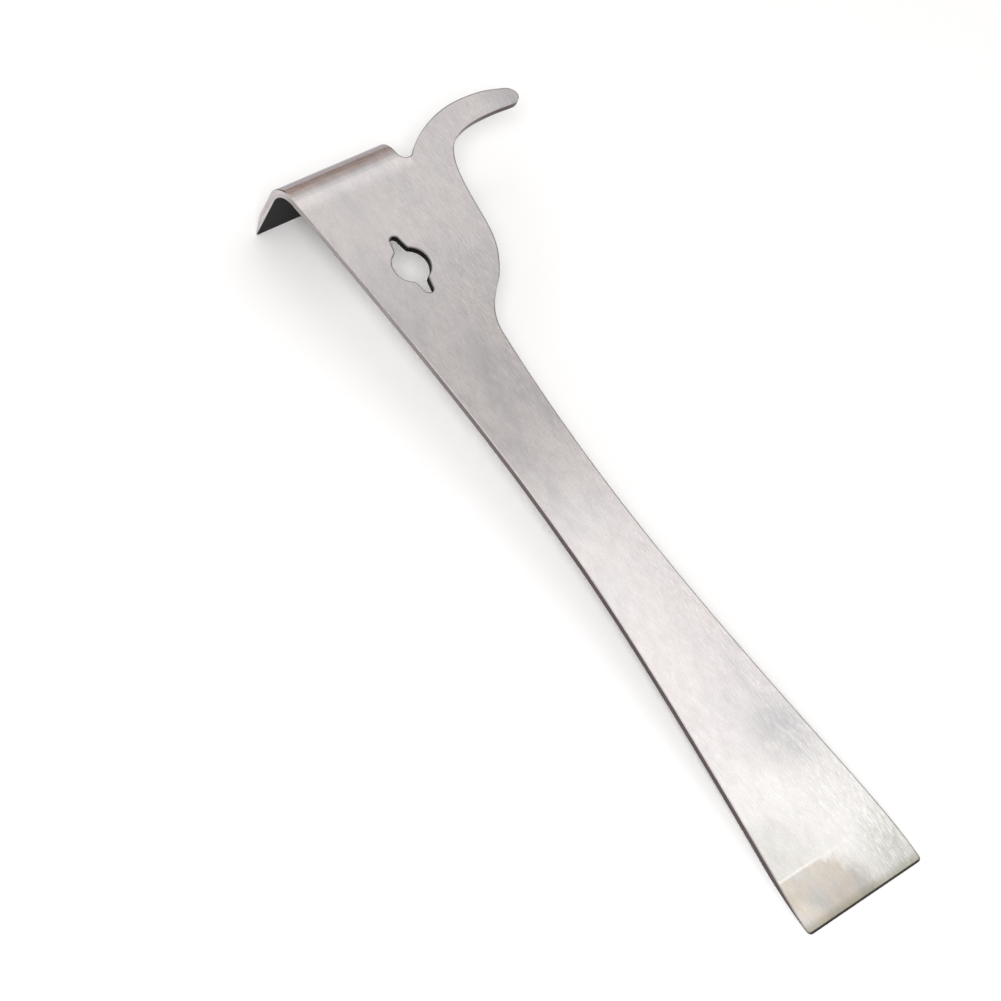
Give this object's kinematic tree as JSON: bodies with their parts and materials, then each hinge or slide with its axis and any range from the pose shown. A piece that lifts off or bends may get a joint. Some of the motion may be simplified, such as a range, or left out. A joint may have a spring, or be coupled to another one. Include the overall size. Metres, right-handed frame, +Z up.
{
  "type": "hive tool",
  "caption": "Flat waisted steel pry bar with a wide ground blade, a right-angle scraper head, a sideways frame hook and a key-shaped hanging hole.",
  "frame": {"origin": "centre of the bounding box at its base, on the surface that the tool lies on, head down on the scraper's edge and the blade's edge", "axes": "+X along the tool from the blade's cutting edge to the bent head, +Z up, -Y the side that the frame hook stands out on"},
  "size_m": [0.2686, 0.0882, 0.029],
  "materials": {
    "steel": "fine linear brushed grain, ground bevels, slightly darker cut edges"
  },
  "bodies": {
    "root": {"hive_tool": "steel"}
  },
  "joints": []
}
